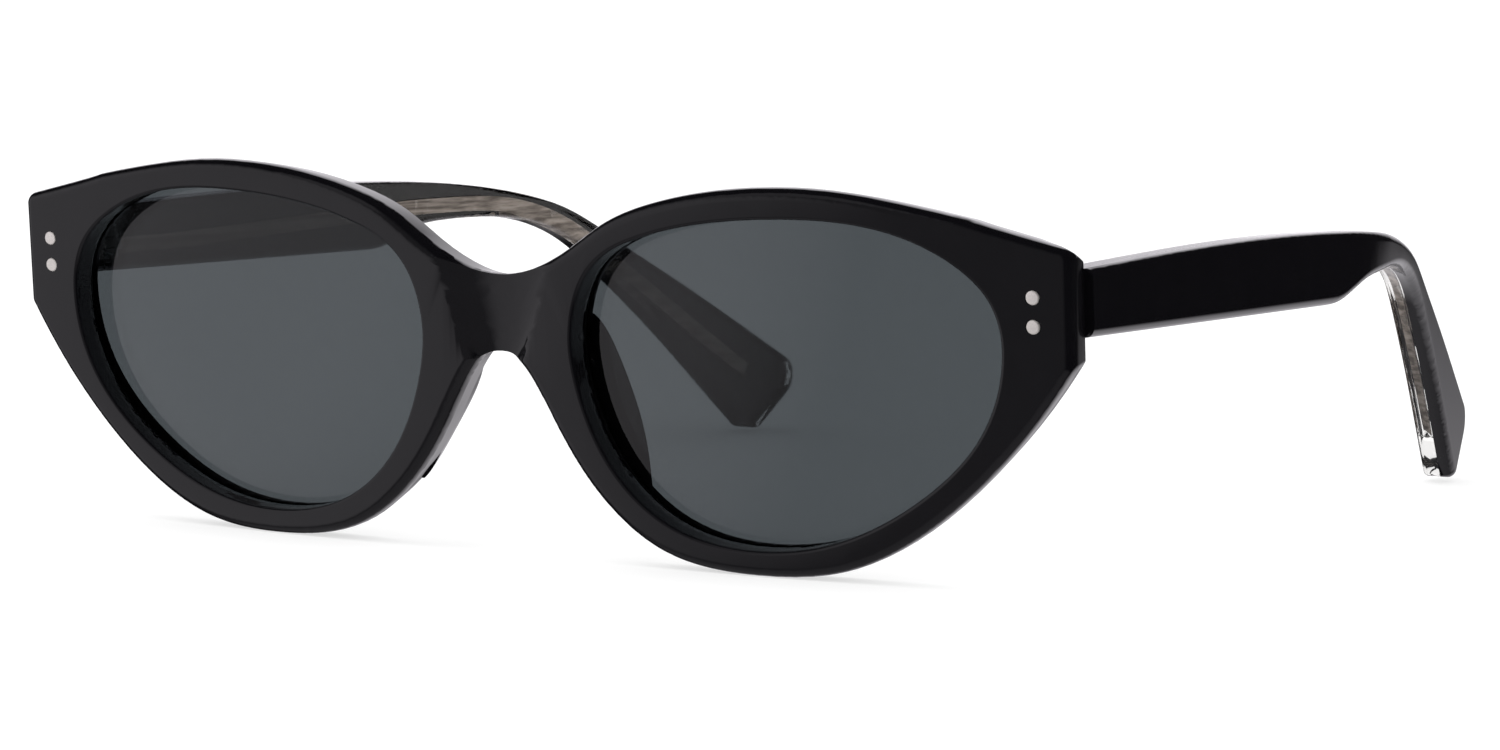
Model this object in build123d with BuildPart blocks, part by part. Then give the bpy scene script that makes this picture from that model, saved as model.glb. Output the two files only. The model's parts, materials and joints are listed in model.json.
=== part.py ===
"""Cat eye sunglasses: laminated acetate front, tinted lenses, riveted hinges and folding temples.

All sizes are millimetres. Axes: +X towards the wearer's left, the front faces -Y, the temples run
back along +Y, +Z is up. The pieces are drawn about a datum at the middle of the front and then set
down on the ground with the origin under the centre of the open glasses.
"""
from build123d import *
from math import cos, radians, sin
import os

os.makedirs("parts", exist_ok=True)

# ---------------------------------------------------------------- driving dimensions
# Front
lens_width = 50.2            # clear width of one lens opening
lens_height = 36.0           # clear height of one lens opening
bridge_width = 19.3          # between the two openings
end_width = 7.55             # from an opening to the outer end of the front
front_thickness = 5.2
face_radius = 415.0          # sweep of the front seen from above
front_tilt = 6.0             # the top of the front leans forward over the temples
brow_rise = 3.2              # rim above the opening
sill_drop = 2.85             # rim below the opening
bridge_top = 10.9
bridge_bottom = 2.4
corner_radius = 1.3
end_fall = 1.9               # the end's top runs down over its depth
end_rise = 1.2               # and its underside runs up
face_edge_radius = 1.2
back_bevel_depth = 3.2       # the rim's outer walls draw in over this much of the thickness
back_bevel = 0.7             # and by this much at the back
opening_edge_radius = 0.4
opening_stations = 36        # points that carry the opening's curve outwards to the groove

# Bridge scoop, a shallow cone cut down the face between the rims
scoop_depth = 1.5
scoop_margin = 3.0           # the cone runs past the bridge above and below
scoop_head_reach = 8.2       # half its width on the face at its top
scoop_foot_reach = 1.5       # and at its foot

# Lenses
lens_radius = 150.0          # front curve of the lens
lens_thickness = 1.6
lens_setback = 1.5           # lens behind the face at the middle of the opening
groove_depth = 0.7
lens_clearance = 0.05        # all round the lens edge in its groove
lens_bevel = 0.45

# Nose pads, bonded behind the rims
pad_depth = 6.2
pad_width = 4.2
pad_flare = 0.3              # sideways run of a pad for each millimetre back
pad_edge_radius = 0.8

# Temples
temple_thickness = 4.2
clear_thickness = 2.3        # inner layer, holds the wire and the hinge plate; the rest is black
temple_top = 15.6
temple_height = 8.3
temple_end_height = 7.3      # where it meets the front
temple_overhang = 0.4        # outer face beyond the end of the front
ear_y = 100.0                # where the temple turns down behind the ear
tip_length = 51.0            # from the ear to the end
bow_start = 76.0             # where the temple starts to close on the head
bow_radius = 60.0
bow_angle = 14.0
tip_width = 11.0             # across the end of the temple
tip_back_radius = 3.0
tip_low_radius = 1.6
outer_edge_radius = 1.1
inner_edge_radius = 0.7

# Core wire, a flat strip in the clear layer
wire_height = 1.8
wire_thickness = 0.9
wire_clearance = 0.03
wire_cover = 0.35            # clear layer between the wire and the veneer
wire_end_margin = 11.0       # clear layer beyond the end of the wire

# Hinges
hinge_z = 9.65               # height of the middle knuckle
hinge_inset = 2.0            # pin behind the inner face of the temple
hinge_setback = 3.4          # pin behind the back of the front
knuckle_height = 1.2
knuckle_radius = 1.35
knuckle_gap = 0.08
pin_radius = 0.6
pin_clearance = 0.04
plate_thickness = 1.0
plate_clearance = 0.03
front_plate_height = 5.6
temple_plate_length = 8.0
temple_plate_height = 3.7
temple_plate_head = 2.6      # the wider end beside the knuckles
web_width = 1.8
screw_head_radius = 1.05
screw_head_height = 0.5
screw_slot = 0.3
joint_gap = 0.15             # between the front and the end of an open temple

# Rivets through the front into the hinge plates
rivet_radius = 0.78
rivet_spacing = 3.1
rivet_proud = 0.12
rivet_edge_radius = 0.15
set_clearance = 0.01         # round pieces that are fixed in their holes

# ---------------------------------------------------------------- places worked out from them


def face_depth(x):
    """Depth of the face behind the datum at a distance x from the middle."""
    return face_radius - (face_radius**2 - x**2) ** 0.5


lens_x = (bridge_width + lens_width) / 2
lens_z = 0.5
half_width = bridge_width / 2 + lens_width + end_width
end_depth = face_depth(half_width) + front_thickness - 0.4
temple_face = half_width + temple_overhang
temple_inner = temple_face - temple_thickness
temple_low = temple_top - temple_height
hinge_x = temple_inner - hinge_inset
hinge_y = end_depth + hinge_setback
rivet_x = temple_inner - 0.1
knuckle_pitch = knuckle_height + knuckle_gap
veneer_thickness = temple_thickness - clear_thickness
wire_shallow = veneer_thickness + wire_cover
plate_start = hinge_x - web_width / 2
plate_end = rivet_x + 2.0

# Planes that lean with the front: FACE looks along -Y, PLAN looks straight down on the front
lean_up = Vector(0, -sin(radians(front_tilt)), cos(radians(front_tilt)))
lean_back = Vector(0, cos(radians(front_tilt)), sin(radians(front_tilt)))
FACE = Plane(origin=(0, 0, 0), x_dir=(1, 0, 0), z_dir=-lean_back)
PLAN = Plane(origin=(0, 0, 0), x_dir=(1, 0, 0), z_dir=lean_up)


def opening(u, v):
    """A point of the opening, as fractions of its half width and half height."""
    return (lens_x + u * lens_width / 2, lens_z + v * lens_height / 2)


def rim(u, v, out_x, out_z):
    """A point of the rim, a wall out_x, out_z away from a point of the opening."""
    x, z = opening(u, v)
    return (x + out_x, z + out_z)


def cut_plane(first, second, third):
    """The plane through three points, facing the side from which they run anticlockwise."""
    return Plane(origin=first, x_dir=second - first, z_dir=(second - first).cross(third - first))


def mirrored(piece):
    """The same piece for the other side of the face."""
    with BuildPart() as twin:
        mirror(piece, about=Plane.YZ)
    return twin.part


# ---------------------------------------------------------------- outlines of the front
opening_points = [
    opening(-1.0, 0.22),
    opening(-0.966, 0.47),
    opening(-0.865, 0.695),
    opening(-0.705, 0.825),
    opening(-0.39, 0.945),
    opening(0.03, 1.0),
    opening(0.41, 0.97),
    opening(0.75, 0.805),
    opening(0.965, 0.515),
    opening(1.0, 0.22),
    opening(0.905, -0.225),
    opening(0.61, -0.65),
    opening(0.25, -0.915),
    opening(-0.13, -1.0),
    opening(-0.57, -0.86),
    opening(-0.785, -0.61),
    opening(-0.965, -0.11),
]
brow_corner = (half_width, opening(1, 0.515)[1] + 6.2)
low_corner = (half_width, opening(1, 0.22)[1] - 0.9)
brow_points = [
    (0, bridge_top),
    (bridge_width / 2 - 4.5, bridge_top + 1.1),
    rim(-0.966, 0.47, -1.3, 5.2),
    rim(-0.865, 0.695, 0.7, 4.2),
    rim(-0.39, 0.945, -4.9, brow_rise - 1.0),
    rim(-0.39, 0.945, 2.5, brow_rise + 0.5),
    rim(0.03, 1.0, -0.5, brow_rise + 0.05),
    rim(0.41, 0.97, 0, brow_rise - 0.1),
    rim(0.75, 0.805, 1.5, brow_rise + 1.0),
    brow_corner,
]
sill_points = [
    low_corner,
    rim(0.905, -0.225, 4.7, -0.2),
    rim(0.905, -0.225, 1.9, -3.4),
    rim(0.61, -0.65, 3.2, -1.5),
    rim(0.25, -0.915, 0.4, -sill_drop - 0.5),
    rim(-0.13, -1.0, -0.5, -sill_drop),
    rim(-0.57, -0.86, -1.0, -sill_drop - 0.4),
    rim(-0.785, -0.61, -2.5, -2.6),
    rim(-0.965, -0.11, -3.1, -4.5),
    (bridge_width / 2 - 6.7, bridge_bottom - 1.2),
    (0, bridge_bottom),
]


def opening_sketch(grow):
    """The lens opening seen from the front, grown outwards by a distance."""
    with BuildLine(mode=Mode.PRIVATE):
        edge = Spline(*opening_points, periodic=True)
    stations = [edge.position_at(i / opening_stations) for i in range(opening_stations)]
    outward = [edge.tangent_at(i / opening_stations).rotate(Axis.Z, 90) for i in range(opening_stations)]
    with BuildSketch(FACE) as shape:
        with BuildLine():
            Spline(*(point + grow * away for point, away in zip(stations, outward)), periodic=True)
        make_face()
    return shape.sketch


def lens_shell(grow, ease):
    """A curved disc of lens thickness: the opening grown by a distance, eased front and back."""
    run = lens_radius * lens_x / face_radius
    sag = (lens_radius**2 - run**2) ** 0.5
    middle = (lens_x - run, lens_z, -face_depth(lens_x) - lens_setback - sag)
    with BuildPart() as shell:
        with BuildSketch(FACE):
            add(opening_sketch(grow))
        extrude(amount=-20)
        with Locations(FACE.from_local_coords(middle)):
            Sphere(lens_radius + ease, mode=Mode.INTERSECT)
            Sphere(lens_radius - lens_thickness - ease, mode=Mode.SUBTRACT)
    return shell.part


# ---------------------------------------------------------------- outlines of the pads and temples
# Pads: height, where the nose side starts at the back of the rim, and share of the full depth
nose_top = (bridge_width / 2 - 6.7, bridge_bottom - 1.2)
pad_sections = [
    (6.5, nose_top[0] + 3.4, 0.2),
    (2.5, nose_top[0] + 2.6, 0.8),
    (-2.0, nose_top[0] + 3.3, 1.0),
    (-6.5, nose_top[0] + 5.5, 0.87),
    (-10.5, nose_top[0] + 7.8, 0.58),
    (-13.5, nose_top[0] + 10.0, 0.23),
]

# Side view of a temple, (back, up): the top from the hinge to the tip, then the underside forwards
tip_back = (ear_y + tip_length, temple_top - 27.6)
tip_low = (tip_back[0] - 0.84 * tip_width, tip_back[1] - 0.72 * tip_width)
temple_top_points = [
    (0, temple_low + temple_end_height - 0.3),
    (0.36 * ear_y, temple_top - 0.1),
    (0.76 * ear_y, temple_top - 0.2),
    (ear_y - 8, temple_top - 1.3),
    (ear_y + 1, temple_top - 2.8),
    (ear_y + 7, temple_top - 4.5),
    (ear_y + 14, temple_top - 7.8),
    (ear_y + 28, temple_top - 15.0),
    tip_back,
]
temple_low_points = [
    tip_low,
    (ear_y + 30, temple_low - 16.9),
    (ear_y + 22, temple_low - 10.2),
    (ear_y + 15, temple_low - 4.8),
    (ear_y + 8, temple_low - 0.2),
    (ear_y + 2, temple_low + 2.0),
    (ear_y - 5, temple_low + 3.0),
    (ear_y - 14, temple_low + 2.9),
    (ear_y - 20, temple_low + 2.2),
    (ear_y - 25, temple_low + 0.7),
    (ear_y - 30, temple_low),
]
wire_points = [
    (0, temple_low + temple_end_height / 2),
    (0.6 * ear_y, temple_low + temple_height / 2),
    (ear_y - 12, temple_low + 4.8),
    (ear_y - 4, temple_low + 4.6),
    (ear_y + 1, temple_low + 3.7),
    (ear_y + 7, temple_low + 1.6),
    (ear_y + 14.5, temple_low - 2.6),
    (ear_y + 25, temple_low - 9.2),
    (tip_back[0] - wire_end_margin, tip_back[1] + 0.6),
]

# ---------------------------------------------------------------- hinge plates
TEMPLE_SIDE = Plane(origin=(temple_inner, 0, 0), x_dir=lean_back, z_dir=(1, 0, 0))


def front_plate(ease):
    """The plate let into the back of the front, or its pocket when eased."""
    with BuildPart() as plate:
        with BuildSketch(FACE.offset(-end_depth)):
            with Locations(((plate_start + plate_end) / 2, hinge_z)):
                Rectangle(plate_end - plate_start + 2 * ease, front_plate_height + 2 * ease)
        extrude(amount=plate_thickness + ease)
    return plate.part


def temple_plate(ease):
    """The T-shaped plate let into the inner side of a temple, or its pocket when eased."""
    plate_y = hinge_y - knuckle_radius - 1.0
    with BuildPart() as plate:
        with BuildSketch(TEMPLE_SIDE):
            with Locations((plate_y + temple_plate_length / 2, hinge_z)):
                Rectangle(temple_plate_length + 2 * ease, temple_plate_height + 2 * ease)
            with Locations((plate_y + temple_plate_head / 2, hinge_z)):
                Rectangle(temple_plate_head + 2 * ease, front_plate_height + 2 * ease)
        extrude(amount=plate_thickness + ease)
    return plate.part


def knuckle_circle(radius):
    """A circle about the hinge pin, on the current plan plane."""
    with Locations((hinge_x, hinge_y)):
        Circle(radius)


def rivet_pair(radius, proud):
    """Two rivets, or their holes, from the back of the plate to a height proud of the face."""
    with BuildPart() as pair:
        with BuildSketch(FACE.offset(-end_depth)):
            with Locations((rivet_x, hinge_z)):
                with GridLocations(0, rivet_spacing, 1, 2):
                    Circle(radius)
        extrude(amount=end_depth - face_depth(rivet_x) + proud)
    return pair.part


# ---------------------------------------------------------------- front
def end_point(height, depth, inward=0):
    """A point at the end of the front, given by its height and depth in the front's own upright."""
    return FACE.from_local_coords((half_width - inward, height, -depth))


end_top = brow_corner[1] - end_fall
end_low = low_corner[1] + end_rise
brow_cut = cut_plane(
    end_point(brow_corner[1], face_depth(half_width) + face_edge_radius),
    end_point(end_top, end_depth),
    end_point(end_top + 4.6, end_depth, inward=10.4),
)
low_cut = cut_plane(
    end_point(low_corner[1], face_depth(half_width) + face_edge_radius),
    end_point(end_low - 12, end_depth, inward=5.4),
    end_point(end_low, end_depth),
)
groove = lens_shell(groove_depth + lens_clearance, lens_clearance)
scoop_heights = (bridge_bottom - scoop_margin, bridge_top + scoop_margin)
scoop_reaches = (scoop_foot_reach, scoop_head_reach)

with BuildPart() as half_front:
    with BuildSketch(FACE) as outline:
        with BuildLine():
            Spline(*brow_points, tangents=[(1, 0), (1, -0.25)])
            Line(brow_corner, low_corner)
            Spline(*sill_points, tangents=[(-0.54, -0.84), (-1, 0)])
            Line((0, bridge_bottom), (0, bridge_top))
        make_face()
        fillet(outline.vertices().group_by(Axis.X)[-1], corner_radius)
    extrude(amount=-20)
    # The sweep of the face and the back, concentric when seen from above
    with BuildSketch(PLAN):
        with Locations((0, face_radius)):
            Circle(face_radius)
            Circle(face_radius - front_thickness, mode=Mode.SUBTRACT)
        with Locations((0, face_radius / 4)):
            Rectangle(4 * half_width, face_radius / 2, mode=Mode.INTERSECT)
    extrude(amount=3 * lens_height, both=True, mode=Mode.INTERSECT)
    rounds = half_front.faces().filter_by(GeomType.CYLINDER).sort_by(SortBy.AREA)[-2:]
    face, back = rounds.sort_by(Axis.Y)
    seam = half_front.faces().filter_by(Plane.YZ).edges()
    fillet([edge for edge in face.edges() if edge not in seam], face_edge_radius)
    rounds = half_front.faces().filter_by(GeomType.CYLINDER).sort_by(SortBy.AREA)[-2:]
    back = rounds.sort_by(Axis.Y)[-1]
    walls = [edge for edge in back.edges() if edge not in seam and edge.length > lens_height]
    chamfer(walls, back_bevel, back_bevel_depth, reference=back)
    # A flat land at the back of the end, where the temple closes
    with BuildSketch(FACE.offset(-end_depth)):
        with Locations((half_width, 0)):
            Rectangle(2 * end_width, 4 * lens_height)
    extrude(amount=-5, mode=Mode.SUBTRACT)
    # The end is drawn in over its depth to the height of the temple
    for plane in (brow_cut, low_cut):
        with BuildSketch(plane):
            Rectangle(8 * end_width, 8 * end_width)
        extrude(amount=4 * end_width, mode=Mode.SUBTRACT)
    # The opening, its front edge softened, and the groove that holds the lens
    with BuildSketch(FACE):
        add(opening_sketch(0))
    extrude(amount=-20, mode=Mode.SUBTRACT)
    rounds = half_front.faces().filter_by(GeomType.CYLINDER).sort_by(SortBy.AREA)[-2:]
    face = rounds.sort_by(Axis.Y)[0]
    fillet(face.inner_wires()[0].edges(), opening_edge_radius)
    add(groove, mode=Mode.SUBTRACT)
    # A pocket for the hinge plate, and the rivet holes
    add(front_plate(plate_clearance), mode=Mode.SUBTRACT)
    add(rivet_pair(rivet_radius + set_clearance, 2), mode=Mode.SUBTRACT)

with BuildPart() as front:
    add(half_front.part)
    mirror(about=Plane.YZ)
    # The scoop of the bridge
    for height, reach in zip(scoop_heights, scoop_reaches):
        scoop_radius = (reach**2 + scoop_depth**2) / (2 * scoop_depth)
        with BuildSketch(PLAN.offset(height)):
            with Locations((0, scoop_depth - scoop_radius)):
                Circle(scoop_radius)
    loft(mode=Mode.SUBTRACT)

# ---------------------------------------------------------------- lenses
with BuildPart() as lens:
    add(lens_shell(groove_depth, 0))
    rounds = lens.faces().filter_by(GeomType.SPHERE)
    chamfer(rounds.edges(), lens_bevel)

# ---------------------------------------------------------------- nose pads
with BuildPart() as nose_pad:
    for height, start, share in pad_sections:
        depth = share * pad_depth
        shift = pad_flare * depth
        with BuildSketch(PLAN.offset(height)) as section:
            with BuildLine():
                Polyline(
                    (start, front_thickness - 1),
                    (start + pad_width, front_thickness - 1),
                    (start + shift + pad_width - 1.0, front_thickness + depth - 0.8),
                    (start + shift + 0.9, front_thickness + depth),
                    close=True,
                )
            make_face()
            fillet(section.vertices().group_by(Axis.Y)[-1], pad_edge_radius)
            fillet(section.vertices().group_by(Axis.Y)[-3], pad_edge_radius)
    loft()
    with BuildSketch(PLAN):
        with Locations((0, face_radius)):
            Circle(face_radius - front_thickness)
    extrude(amount=2 * lens_height, both=True, mode=Mode.INTERSECT)

# ---------------------------------------------------------------- hinges
with BuildPart() as front_hinge:
    add(front_plate(0))
    with BuildSketch(PLAN.offset(hinge_z)):
        knuckle_circle(knuckle_radius)
        with Locations((hinge_x, hinge_y - hinge_setback / 2)):
            Rectangle(web_width, hinge_setback)
    extrude(amount=knuckle_height / 2, both=True)
    with BuildSketch(PLAN.offset(hinge_z)):
        knuckle_circle(pin_radius + pin_clearance)
    extrude(amount=knuckle_height, both=True, mode=Mode.SUBTRACT)
    add(rivet_pair(rivet_radius + set_clearance, 2), mode=Mode.SUBTRACT)

with BuildPart() as temple_hinge:
    add(temple_plate(0))
    for side in (-1, 1):
        with BuildSketch(PLAN.offset(hinge_z + side * knuckle_pitch)):
            knuckle_circle(knuckle_radius)
            with Locations((hinge_x + hinge_inset / 2, hinge_y)):
                Rectangle(hinge_inset, 2 * knuckle_radius)
        extrude(amount=knuckle_height / 2, both=True)
    with BuildSketch(PLAN.offset(hinge_z)):
        knuckle_circle(pin_radius + set_clearance)
    extrude(amount=3 * knuckle_pitch, both=True, mode=Mode.SUBTRACT)

screw_low = hinge_z - knuckle_pitch - knuckle_height / 2
screw_high = hinge_z + knuckle_pitch + knuckle_height / 2
with BuildPart() as hinge_screw:
    with BuildSketch(PLAN.offset(screw_low)):
        knuckle_circle(pin_radius)
    extrude(amount=screw_high - screw_low)
    with BuildSketch(PLAN.offset(screw_high)):
        knuckle_circle(screw_head_radius)
    extrude(amount=screw_head_height)
    rim_edge = hinge_screw.edges().filter_by(GeomType.CIRCLE).sort_by(Axis.Z)[-1]
    chamfer(rim_edge, screw_head_height / 4)
    with BuildSketch(PLAN.offset(screw_high + screw_head_height)):
        with Locations((hinge_x, hinge_y)):
            Rectangle(4 * screw_head_radius, screw_slot)
    extrude(amount=-screw_head_height / 2, mode=Mode.SUBTRACT)

with BuildPart() as front_rivets:
    add(rivet_pair(rivet_radius, rivet_proud))
    heads = front_rivets.faces().filter_by(GeomType.PLANE).sort_by(Axis.Y)[:2]
    fillet(heads.edges(), rivet_edge_radius)


# ---------------------------------------------------------------- temples
def temple_band(shallow, deep):
    """The strip of the temple between two depths below its outer face, seen from above."""
    with BuildSketch() as band:
        with BuildLine():
            outer_run = Line((temple_face - shallow, 0), (temple_face - shallow, bow_start))
            outer_bow = JernArc(outer_run @ 1, (0, 1), bow_radius - shallow, bow_angle)
            outer_end = Line(outer_bow @ 1, outer_bow @ 1 + 2 * tip_length * (outer_bow % 1))
            inner_run = Line((temple_face - deep, 0), (temple_face - deep, bow_start))
            inner_bow = JernArc(inner_run @ 1, (0, 1), bow_radius - deep, bow_angle)
            inner_end = Line(inner_bow @ 1, inner_bow @ 1 + 2 * tip_length * (inner_bow % 1))
            Line(outer_run @ 0, inner_run @ 0)
            Line(outer_end @ 1, inner_end @ 1)
        make_face()
    return band.sketch


def temple_layer(shallow, deep):
    """A layer of the temple between two depths, with its full side outline."""
    with BuildPart() as layer:
        with BuildSketch():
            add(temple_band(shallow, deep))
        extrude(amount=ear_y, both=True)
        with BuildSketch(Plane.YZ) as side:
            with BuildLine():
                Spline(*temple_top_points)
                Line(tip_back, tip_low)
                Spline(*temple_low_points, tangents=[(-1, 0.85), (-1, 0)])
                Line(temple_low_points[-1], (0, temple_low_points[-1][1]))
                Line((0, temple_low_points[-1][1]), temple_top_points[0])
            make_face()
            fillet(side.vertices().sort_by(Axis.X)[-1], tip_back_radius)
            fillet(side.vertices().sort_by(Axis.Y)[0], tip_low_radius)
        extrude(amount=2 * half_width, mode=Mode.INTERSECT)
    return layer.part


def outline_edges(layer, side):
    """The edges round a layer's outer (+1) or inner (-1) side, less those of its front end."""
    skins = [face for face in layer.faces() if side * face.normal_at().X > 0.9]
    edges = [edge for face in skins for edge in face.edges()]
    return [edge for edge in edges if edges.count(edge) == 1 and edge.center().Y > end_depth / 2]


def wire_strip(ease):
    """The core wire, or its channel when eased, open at the front end of the temple."""
    with BuildPart() as strip:
        with BuildSketch():
            add(temple_band(wire_shallow - ease, wire_shallow + wire_thickness + ease))
        extrude(amount=ear_y, both=True)
        with BuildSketch(Plane.YZ):
            with BuildLine() as run:
                Spline(*wire_points)
            trace(run.line, wire_height + 2 * ease)
        extrude(amount=2 * half_width, mode=Mode.INTERSECT)
    return strip.part


def mitred(piece, gap):
    """A temple piece cut square to the front, a gap behind it."""
    with BuildPart() as cut:
        add(piece)
        with BuildSketch(FACE.offset(-end_depth - gap)):
            Rectangle(4 * half_width, 4 * lens_height)
        extrude(amount=4 * end_depth, mode=Mode.SUBTRACT)
    return cut.part


with BuildPart() as veneer:
    add(temple_layer(0, veneer_thickness))
    fillet(outline_edges(veneer, 1), outer_edge_radius)

with BuildPart() as temple_outer:
    add(mitred(veneer.part, joint_gap))

with BuildPart() as clear_layer:
    add(temple_layer(veneer_thickness, temple_thickness))
    fillet(outline_edges(clear_layer, -1), inner_edge_radius)
    add(wire_strip(wire_clearance), mode=Mode.SUBTRACT)
    add(temple_plate(plate_clearance), mode=Mode.SUBTRACT)

with BuildPart() as temple_inner_layer:
    add(mitred(clear_layer.part, joint_gap))

with BuildPart() as core_wire:
    add(mitred(wire_strip(0), 2 * joint_gap))

# ---------------------------------------------------------------- set down on the ground
side_pieces = {
    "lens": lens.part,
    "nose_pad": nose_pad.part,
    "front_rivets": front_rivets.part,
    "front_hinge": front_hinge.part,
    "hinge_screw": hinge_screw.part,
    "temple_hinge": temple_hinge.part,
    "temple_outer": temple_outer.part,
    "temple_inner": temple_inner_layer.part,
    "core_wire": core_wire.part,
}
pieces = {"front_frame": front.part}
for name, piece in side_pieces.items():
    pieces[f"left_{name}"] = piece
    pieces[f"right_{name}"] = mirrored(piece)

whole = Compound(children=[piece.moved(Location()) for piece in pieces.values()]).bounding_box()
ground = Location((-whole.center().X, -whole.center().Y, -whole.min.Z))
for name, piece in pieces.items():
    placed = piece.moved(ground)
    placed.label = name
    export_step(placed, f"parts/{name}.step")

pin = ground.position + PLAN.from_local_coords((hinge_x, hinge_y, hinge_z))
print("hinge pin at", pin, "axis", lean_up)
print("open size", whole.size)
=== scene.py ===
"""Cat eye sunglasses: the finished look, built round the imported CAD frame."""

import json
import math

import bmesh
import bpy
import numpy as np
from mathutils import Matrix, Vector

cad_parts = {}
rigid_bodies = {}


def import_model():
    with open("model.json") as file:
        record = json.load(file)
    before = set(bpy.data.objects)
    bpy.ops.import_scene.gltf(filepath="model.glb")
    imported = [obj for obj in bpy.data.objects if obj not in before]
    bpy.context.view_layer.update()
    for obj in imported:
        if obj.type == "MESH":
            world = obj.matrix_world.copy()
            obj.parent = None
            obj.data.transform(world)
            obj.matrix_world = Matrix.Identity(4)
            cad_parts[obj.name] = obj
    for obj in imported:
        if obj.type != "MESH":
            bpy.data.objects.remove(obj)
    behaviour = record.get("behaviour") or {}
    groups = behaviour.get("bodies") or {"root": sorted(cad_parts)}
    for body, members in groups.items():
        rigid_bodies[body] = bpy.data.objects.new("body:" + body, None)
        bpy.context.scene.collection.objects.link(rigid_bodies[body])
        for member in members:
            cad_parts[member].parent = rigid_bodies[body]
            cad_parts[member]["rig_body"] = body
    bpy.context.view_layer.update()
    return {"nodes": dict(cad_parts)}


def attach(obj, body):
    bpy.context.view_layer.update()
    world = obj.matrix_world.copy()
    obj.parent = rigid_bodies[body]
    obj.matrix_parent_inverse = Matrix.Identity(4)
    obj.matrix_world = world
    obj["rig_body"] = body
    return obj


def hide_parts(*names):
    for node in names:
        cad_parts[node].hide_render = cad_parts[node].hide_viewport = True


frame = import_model()

MM = 0.001
SIDES = ("left", "right")

# ---------------------------------------------------------------- camera
# Places are in metres, angles in degrees, the lens and its sensor in millimetres
CAMERA_PLACE = (0.32764, -0.58385, 0.07462)
CAMERA_AZIMUTH = 30.09
CAMERA_ELEVATION = 5.105
CAMERA_ROLL = 1.09
CAMERA_LENS = 133.9
SENSOR_WIDTH = 36.0
CLIP_NEAR, CLIP_FAR = 0.01, 20


def build_camera():
    """A long lens, a little above the glasses and on their wearer's left."""
    data = bpy.data.cameras.new("camera")
    data.lens = CAMERA_LENS
    data.sensor_width = SENSOR_WIDTH
    data.clip_start = CLIP_NEAR
    data.clip_end = CLIP_FAR
    camera = bpy.data.objects.new("camera", data)
    bpy.context.scene.collection.objects.link(camera)
    turn = Matrix.Rotation(math.radians(CAMERA_AZIMUTH), 4, "Z")
    raise_up = Matrix.Rotation(math.radians(90 - CAMERA_ELEVATION), 4, "X")
    roll = Matrix.Rotation(math.radians(CAMERA_ROLL), 4, "Z")
    camera.matrix_world = Matrix.Translation(CAMERA_PLACE) @ turn @ raise_up @ roll
    bpy.context.scene.camera = camera


# ---------------------------------------------------------------- studio
FLOOR_REACH = 6.0
FLOOR_GREY = 0.5
FLOOR_ROUGHNESS = 0.7
FLOOR_GLOW = 0.62
WHITE = (1.0, 1.0, 1.0, 1.0)

DOME_REACH = 3.0
DOME_TINT = (0.98, 0.95, 1.0, 1.0)
DOME_DARK = 0.012           # brightness between the cards
# What polished surfaces mirror: direction, half angles in degrees of full and of no light, brightness
CARDS = (
    ((-0.80, -0.60, 0.05), 22, 50, 0.62),
    ((-0.20, -0.98, 0.0), 30, 70, 0.17),
    ((-0.52, 0.83, 0.20), 12, 30, 0.95),
    ((0.0, -0.2, -1.0), 30, 60, 0.30),
    ((-0.02, 0.80, -0.60), 18, 38, 0.9),
    ((-0.35, -0.62, 0.70), 8, 22, 0.35),
)

TOP_BOX_PLACE = (-0.25, -0.15, 1.1)
TOP_BOX_WIDTH, TOP_BOX_DEPTH = 1.0, 0.8
TOP_BOX_WATTS = 3.0


def stand(name, shape):
    """A stage object made from a bmesh, with a material of its own."""
    mesh = bpy.data.meshes.new(name)
    shape.to_mesh(mesh)
    shape.free()
    body = bpy.data.objects.new(name, mesh)
    bpy.context.scene.collection.objects.link(body)
    paint = bpy.data.materials.new(f"{name}_paint")
    paint.use_nodes = True
    mesh.materials.append(paint)
    return body, paint


def build_floor():
    """A pale sheet on the ground, bright enough to run out into the pale surround."""
    shape = bmesh.new()
    bmesh.ops.create_circle(shape, cap_ends=True, segments=64, radius=FLOOR_REACH)
    floor, paint = stand("floor", shape)
    shader = paint.node_tree.nodes["Principled BSDF"]
    shader.inputs["Base Color"].default_value = (FLOOR_GREY, FLOOR_GREY, FLOOR_GREY, 1)
    shader.inputs["Roughness"].default_value = FLOOR_ROUGHNESS
    shader.inputs["Specular IOR Level"].default_value = 0.0
    shader.inputs["Emission Color"].default_value = WHITE
    shader.inputs["Emission Strength"].default_value = FLOOR_GLOW
    floor.visible_glossy = False


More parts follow.
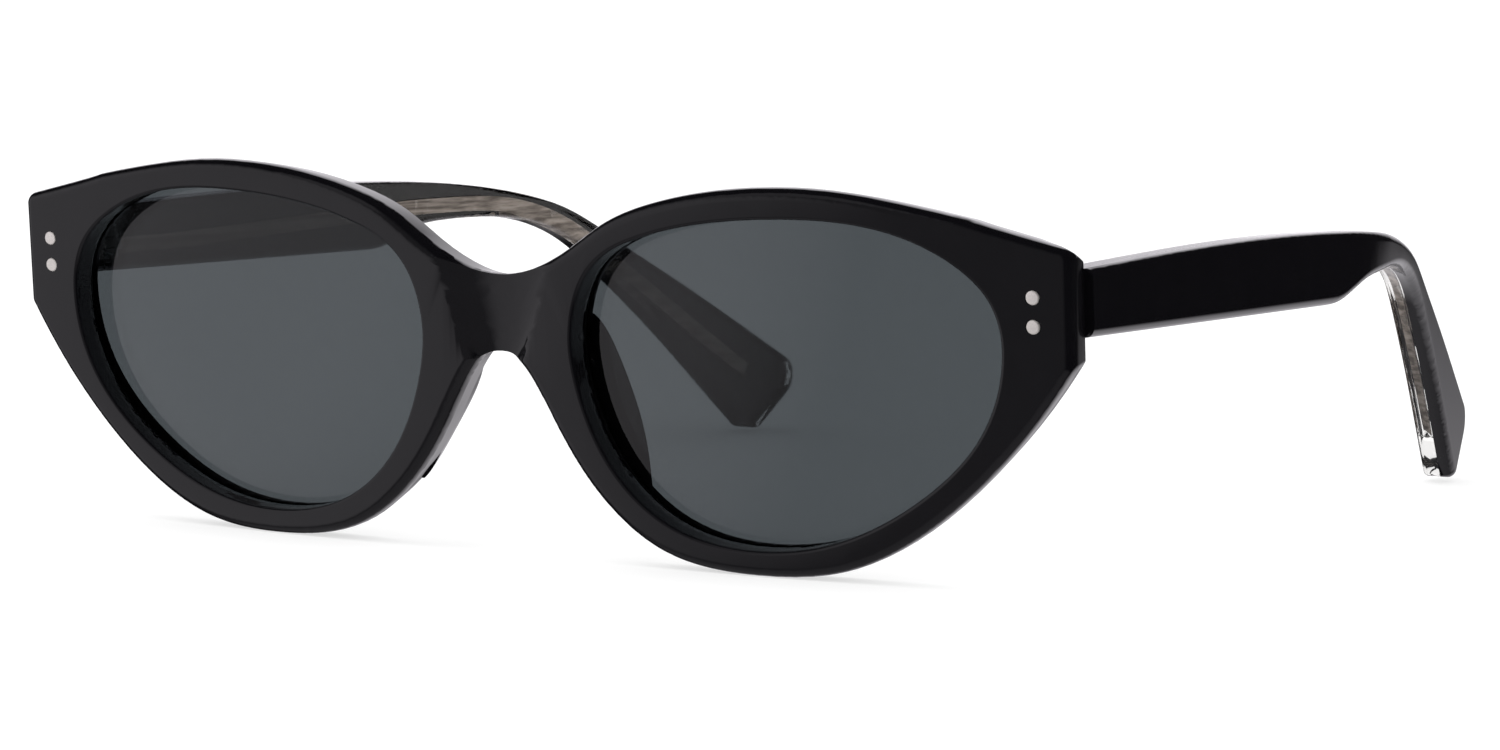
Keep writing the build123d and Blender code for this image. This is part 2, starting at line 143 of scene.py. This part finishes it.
def build_surround():
    """A dark dome with soft white cards on it, seen only as a reflection."""
    shape = bmesh.new()
    bmesh.ops.create_icosphere(shape, subdivisions=4, radius=DOME_REACH)
    dome, paint = stand("surround", shape)
    for ray in ("visible_camera", "visible_diffuse", "visible_transmission", "visible_shadow",
                "visible_volume_scatter"):
        setattr(dome, ray, False)
    paint.cycles.emission_sampling = "NONE"
    tree = paint.node_tree
    tree.nodes.remove(tree.nodes["Principled BSDF"])
    coords = tree.nodes.new("ShaderNodeTexCoord").outputs["Object"]
    towards = tree.nodes.new("ShaderNodeVectorMath")
    towards.operation = "NORMALIZE"
    tree.links.new(coords, towards.inputs[0])
    total = None
    for direction, full, nothing, brightness in CARDS:
        dot = tree.nodes.new("ShaderNodeVectorMath")
        dot.operation = "DOT_PRODUCT"
        dot.inputs[1].default_value = Vector(direction).normalized()
        tree.links.new(towards.outputs["Vector"], dot.inputs[0])
        fade = tree.nodes.new("ShaderNodeMapRange")
        fade.interpolation_type = "SMOOTHSTEP"
        fade.inputs["From Min"].default_value = math.cos(math.radians(nothing))
        fade.inputs["From Max"].default_value = math.cos(math.radians(full))
        fade.inputs["To Min"].default_value = 0.0
        fade.inputs["To Max"].default_value = brightness
        tree.links.new(dot.outputs["Value"], fade.inputs["Value"])
        brighter = tree.nodes.new("ShaderNodeMath")
        brighter.operation = "MAXIMUM"
        tree.links.new(fade.outputs["Result"], brighter.inputs[0])
        brighter.inputs[1].default_value = DOME_DARK
        if total:
            tree.links.new(total, brighter.inputs[1])
        total = brighter.outputs["Value"]
    glow = tree.nodes.new("ShaderNodeEmission")
    glow.inputs["Color"].default_value = DOME_TINT
    tree.links.new(total, glow.inputs["Strength"])
    tree.links.new(glow.outputs["Emission"], tree.nodes["Material Output"].inputs["Surface"])


def build_top_box():
    """A soft box above, aimed at the glasses, which neither shows in them nor through them."""
    data = bpy.data.lights.new("top_box", "AREA")
    data.shape = "RECTANGLE"
    data.size = TOP_BOX_WIDTH
    data.size_y = TOP_BOX_DEPTH
    data.energy = TOP_BOX_WATTS
    lamp = bpy.data.objects.new("top_box", data)
    bpy.context.scene.collection.objects.link(lamp)
    lamp.location = TOP_BOX_PLACE
    lamp.rotation_mode = "QUATERNION"
    lamp.rotation_quaternion = (-Vector(TOP_BOX_PLACE)).to_track_quat("-Z", "Y")
    lamp.visible_glossy = False
    lamp.visible_transmission = False


def build_studio():
    """Plain white all round, a soft box above, and the cards that the polish mirrors."""
    scene = bpy.context.scene
    scene.view_settings.view_transform = "Standard"
    world = bpy.data.worlds.new("studio")
    scene.world = world
    world.use_nodes = True
    background = world.node_tree.nodes["Background"]
    background.inputs["Color"].default_value = WHITE
    background.inputs["Strength"].default_value = 1.0
    build_floor()
    build_surround()
    build_top_box()


# ---------------------------------------------------------------- materials
NOISE_LOW, NOISE_HIGH = 0.35, 0.65      # the middle of a noise, where nearly all its values lie
LINE_DEPTH = 1e-6


class Graph:
    """A small helper round a material's nodes. Lengths are in metres, scales are per metre."""

    def __init__(self, name):
        self.material = bpy.data.materials.new(name)
        self.material.use_nodes = True
        self.tree = self.material.node_tree
        self.shader = self.tree.nodes["Principled BSDF"]
        self.coords = self.tree.nodes.new("ShaderNodeTexCoord").outputs["Object"]

    def node(self, kind, **sockets):
        """A node with its plain inputs set; an input given as a socket is linked."""
        made = self.tree.nodes.new(kind)
        for name, value in sockets.items():
            self.put(made, name.replace("_", " "), value)
        return made

    def put(self, node, socket, value):
        """One input, set to a value or linked to a socket."""
        target = node.inputs[socket]
        if isinstance(value, bpy.types.NodeSocket):
            self.tree.links.new(value, target)
        else:
            target.default_value = value

    def stretched(self, scale):
        """Object coordinates, scaled per axis."""
        mapping = self.node("ShaderNodeMapping", Vector=self.coords, Scale=scale)
        return mapping.outputs["Vector"]

    def noise(self, scale, detail=3.0, rough=0.5, vector=None):
        """A cloudy value round a half."""
        made = self.node("ShaderNodeTexNoise", Vector=vector or self.coords, Scale=scale,
                         Detail=detail, Roughness=rough)
        return made.outputs["Fac"]

    def ramp(self, noise, low, high):
        """A noise remapped between two numbers."""
        made = self.node("ShaderNodeMapRange", Value=noise, From_Min=NOISE_LOW, From_Max=NOISE_HIGH,
                         To_Min=low, To_Max=high)
        return made.outputs["Result"]

    def blend(self, factor, first, second):
        """Two colours mixed by a factor."""
        made = self.tree.nodes.new("ShaderNodeMix")
        made.data_type = "RGBA"
        self.tree.links.new(factor, made.inputs["Factor"])
        made.inputs["A"].default_value = (*first, 1)
        made.inputs["B"].default_value = (*second, 1)
        return made.outputs["Result"]

    def bump(self, height, distance, strength, under=None):
        """A normal tilted by a height, on top of another normal if one is given."""
        made = self.node("ShaderNodeBump", Height=height, Distance=distance, Strength=strength)
        if under:
            self.tree.links.new(under, made.inputs["Normal"])
        return made.outputs["Normal"]

    def set(self, **sockets):
        """Inputs of the main shader."""
        for name, value in sockets.items():
            self.put(self.shader, name.replace("_", " "), value)
        return self.material


def black_acetate():
    """Polished black acetate: slow waves from the buffing wheel, hairlines and patches of wear."""
    g = Graph("black_acetate")
    waves = g.noise(90.0, detail=2.0)
    hair = g.noise(900.0, detail=2.0, vector=g.stretched((1.0, 1.0, 6.0)))
    mottle = g.noise(220.0, detail=4.0, rough=0.6)
    wear = g.ramp(g.noise(55.0, detail=5.0, rough=0.65), 0.03, 0.075)
    normal = g.bump(waves, 0.00002, 0.35)
    normal = g.bump(hair, 0.000002, 0.3, under=normal)
    return g.set(
        Base_Color=g.blend(mottle, (0.0020, 0.0019, 0.0026), (0.0040, 0.0037, 0.0048)),
        Roughness=wear,
        IOR=1.5,
        Normal=normal,
    )


def sun_lens():
    """A grey lens with a breath of green, tinted right through."""
    g = Graph("sun_lens")
    cloud = g.noise(40.0, detail=2.0)
    haze = g.ramp(g.noise(160.0, detail=4.0), 0.012, 0.03)
    return g.set(
        Base_Color=g.blend(cloud, (0.056, 0.065, 0.071), (0.060, 0.069, 0.075)),
        Roughness=haze,
        Transmission_Weight=1.0,
        IOR=1.5,
        Normal=g.bump(g.noise(70.0, detail=1.0), 0.000006, 0.2),
    )


def ground_edge_painted_shade():
    """The matte bevel of a lens, scored by the edging wheel; its near-black colour is painted shade
    for where it sits in the frame's groove.
    """
    g = Graph("ground_edge_painted_shade")
    scores = g.noise(1500.0, detail=2.0, vector=g.stretched((1.0, 6.0, 1.0)))
    return g.set(
        # Base colour: painted shade, near-black for the edge sitting in the groove, broken by the
        # edging wheel's scores
        Base_Color=g.blend(scores, (0.004, 0.0042, 0.0045), (0.009, 0.0095, 0.010)),
        Roughness=g.ramp(scores, 0.5, 0.75),
        Normal=g.bump(scores, 0.00001, 0.4),
    )


def crystal_acetate():
    """Clear acetate with a faint warm cast and buffing waves."""
    g = Graph("crystal_acetate")
    cloud = g.noise(120.0, detail=3.0)
    haze = g.ramp(g.noise(260.0, detail=4.0), 0.015, 0.05)
    return g.set(
        Base_Color=g.blend(cloud, (0.95, 0.935, 0.925), (0.985, 0.975, 0.97)),
        Roughness=haze,
        Transmission_Weight=1.0,
        IOR=1.48,
        Normal=g.bump(g.noise(60.0, detail=1.0), 0.00001, 0.15),
    )


def worked_metal(name, dark, light, rough, lines, metallic):
    """Metal with drawn or turned lines, closer along an axis with a large number, and some tarnish."""
    g = Graph(name)
    tarnish = g.noise(800.0, detail=4.0)
    drawn = g.noise(3000.0, detail=3.0, vector=g.stretched(lines))
    return g.set(
        Base_Color=g.blend(g.ramp(drawn, 0.0, 1.0), dark, light),
        Metallic=metallic,
        Roughness=g.ramp(tarnish, rough * 0.8, rough * 1.3),
        Normal=g.bump(drawn, LINE_DEPTH, 0.5),
    )


# ---------------------------------------------------------------- pieces
SMOOTH_BELOW = 21.0         # degrees between faces, above which an edge stays crisp
WELD = 1e-6                 # metres between points that are one point
VENEER_BOND = 0.03 * MM     # how far the black layer reaches into the clear one
WIRE_BOND = 0.05 * MM       # how far the wire reaches into it, all round
SAME_WAY = 0.9              # cosine that tells the faces looking one way from the rest
OPTICAL_LEAN = 0.8          # cosine that tells an optical face from the bevel beside it
LENS_RINGS = (0.97, 0.9, 0.78, 0.62, 0.44, 0.25, 0.1)   # shares of the way out to the lens's edge
EDGE, FRONT_FACE, BACK_FACE = 0, 1, 2


def welded(node):
    """The mesh of a CAD node with its seams joined, ready to work on."""
    shape = bmesh.new()
    shape.from_mesh(frame["nodes"][node].data)
    bmesh.ops.remove_doubles(shape, verts=shape.verts, dist=WELD)
    return shape


def shown(node, name, mesh, material):
    """A finished mesh standing for a CAD node, moving with the node's body."""
    mesh.materials.clear()
    mesh.materials.append(material)
    piece = bpy.data.objects.new(name, mesh)
    bpy.context.scene.collection.objects.link(piece)
    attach(piece, frame["nodes"][node]["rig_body"])
    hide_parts(node)
    return piece


def grow(shape, distance, facing=None):
    """Moves the skin outwards, all of it or only the faces that look one way."""
    shape.normal_update()
    faces = [face for face in shape.faces if facing is None or face.normal.dot(facing) > SAME_WAY]
    pushes = {}
    for face in faces:
        for vert in face.verts:
            pushes.setdefault(vert, []).append(face.normal)
    for vert, normals in pushes.items():
        vert.co += sum(normals, Vector()).normalized() * distance


def finished(node, name, material, bond=0.0, facing=None):
    """A CAD node smooth-shaded between its hard edges, broad faces keeping their true normals.
    A piece with a bond is grown by it into the clear layer, so that no air shows between."""
    shape = welded(node)
    if bond:
        grow(shape, bond, facing)
    mesh = bpy.data.meshes.new(name)
    shape.to_mesh(mesh)
    shape.free()
    mesh.polygons.foreach_set("use_smooth", [True] * len(mesh.polygons))
    mesh.set_sharp_from_angle(angle=math.radians(SMOOTH_BELOW))
    piece = shown(node, name, mesh, material)
    even = piece.modifiers.new("even", "WEIGHTED_NORMAL")
    even.mode = "FACE_AREA"
    even.keep_sharp = True


def sphere_through(points):
    """Centre and radius of the sphere that fits a set of points."""
    rows = np.array([[2 * p.x, 2 * p.y, 2 * p.z, 1.0] for p in points])
    squares = np.array([p.length_squared for p in points])
    fit = np.linalg.lstsq(rows, squares, rcond=None)[0]
    centre = Vector(fit[:3])
    return centre, math.sqrt(fit[3] + centre.length_squared)


def loop_round(faces):
    """The boundary of a patch of faces as vertices in order."""
    counts = {}
    for face in faces:
        for edge in face.edges:
            counts[edge] = counts.get(edge, 0) + 1
    follow = {}
    for edge, count in counts.items():
        if count == 1:
            first, second = edge.verts
            follow.setdefault(first, []).append(second)
            follow.setdefault(second, []).append(first)
    start = next(iter(follow))
    loop = [start, follow[start][0]]
    while loop[-1] != start:
        ahead = follow[loop[-1]]
        loop.append(ahead[0] if ahead[0] != loop[-2] else ahead[1])
    return loop[:-1]


def reskinned(shape, facing):
    """One optical face of a lens laid again as rings on its sphere. Returns its centre and faces."""
    old = [face for face in shape.faces if face.normal.dot(facing) > OPTICAL_LEAN]
    loop = loop_round(old)
    corners = {vert for face in old for vert in face.verts}
    centre, radius = sphere_through([vert.co for vert in corners])
    bmesh.ops.delete(shape, geom=old, context="FACES_ONLY")
    middle = sum((vert.co for vert in loop), Vector()) / len(loop)
    rings = [loop]
    for share in LENS_RINGS:
        ring = []
        for vert in loop:
            flat = middle.lerp(vert.co, share)
            ring.append(shape.verts.new(centre + (flat - centre).normalized() * radius))
        rings.append(ring)
    pole = shape.verts.new(centre + (middle - centre).normalized() * radius)
    made = []
    for outer, inner in zip(rings, rings[1:]):
        for i in range(len(loop)):
            j = (i + 1) % len(loop)
            made.append(shape.faces.new((outer[i], outer[j], inner[j], inner[i])))
    for i in range(len(loop)):
        made.append(shape.faces.new((rings[-1][i], rings[-1][(i + 1) % len(loop)], pole)))
    for face in made:
        face.normal_update()
        if face.normal.dot(facing) < 0:
            face.normal_flip()
    return centre, made


def optical(node, name, material, painted_shade_edge_material):
    """A lens whose optical faces carry the exact normals of their spheres, with a ground edge."""
    shape = welded(node)
    tag = shape.faces.layers.int.new("optical")
    front_centre, front_faces = reskinned(shape, Vector((0, -1, 0)))
    for face in front_faces:
        face[tag] = FRONT_FACE
    back_centre, back_faces = reskinned(shape, Vector((0, 1, 0)))
    for face in back_faces:
        face[tag] = BACK_FACE
    mesh = bpy.data.meshes.new(name)
    shape.to_mesh(mesh)
    shape.free()
    tags = [item.value for item in mesh.attributes["optical"].data]
    mesh.polygons.foreach_set("use_smooth", [True] * len(mesh.polygons))
    mesh.set_sharp_from_angle(angle=math.radians(SMOOTH_BELOW))
    normals = [Vector()] * len(mesh.loops)
    for polygon in mesh.polygons:
        for index in polygon.loop_indices:
            place = mesh.vertices[mesh.loops[index].vertex_index].co
            if tags[polygon.index] == FRONT_FACE:
                normals[index] = (place - front_centre).normalized()
            elif tags[polygon.index] == BACK_FACE:
                normals[index] = (back_centre - place).normalized()
    mesh.normals_split_custom_set(normals)
    shown(node, name, mesh, material)
    mesh.materials.append(painted_shade_edge_material)
    mesh.polygons.foreach_set("material_index", [1 if value == EDGE else 0 for value in tags])


def build_pieces():
    """Every node of the glasses in its finished material."""
    black = black_acetate()
    tint = sun_lens()
    edge = ground_edge_painted_shade()
    clear = crystal_acetate()
    hinge_metal = worked_metal("hinge_metal", dark=(0.60, 0.59, 0.58), light=(0.80, 0.79, 0.77),
                               rough=0.28, lines=(1, 1, 9), metallic=0.8)
    rivet_metal = worked_metal("rivet_metal", dark=(0.82, 0.78, 0.75), light=(0.93, 0.88, 0.84),
                               rough=0.3, lines=(2, 2, 2), metallic=0.75)
    wire_metal = worked_metal("wire_metal", dark=(0.13, 0.11, 0.095), light=(0.42, 0.37, 0.33),
                              rough=0.4, lines=(0.3, 0.004, 0.6), metallic=0.6)
    finished("front_frame", "front", black)
    for side in SIDES:
        optical(f"{side}_lens", f"{side}_sun_lens", tint, edge)
        finished(f"{side}_nose_pad", f"{side}_pad", black)
        finished(f"{side}_front_rivets", f"{side}_rivets", rivet_metal)
        finished(f"{side}_front_hinge", f"{side}_hinge_on_front", hinge_metal)
        finished(f"{side}_hinge_screw", f"{side}_screw", rivet_metal)
        finished(f"{side}_temple_hinge", f"{side}_hinge_on_temple", hinge_metal)
        inwards = Vector((-1 if side == "left" else 1, 0, 0))
        finished(f"{side}_temple_outer", f"{side}_temple_black", black,
                 bond=VENEER_BOND, facing=inwards)
        finished(f"{side}_temple_inner", f"{side}_temple_clear", clear)
        finished(f"{side}_core_wire", f"{side}_wire", wire_metal, bond=WIRE_BOND)


build_camera()
build_studio()
build_pieces()
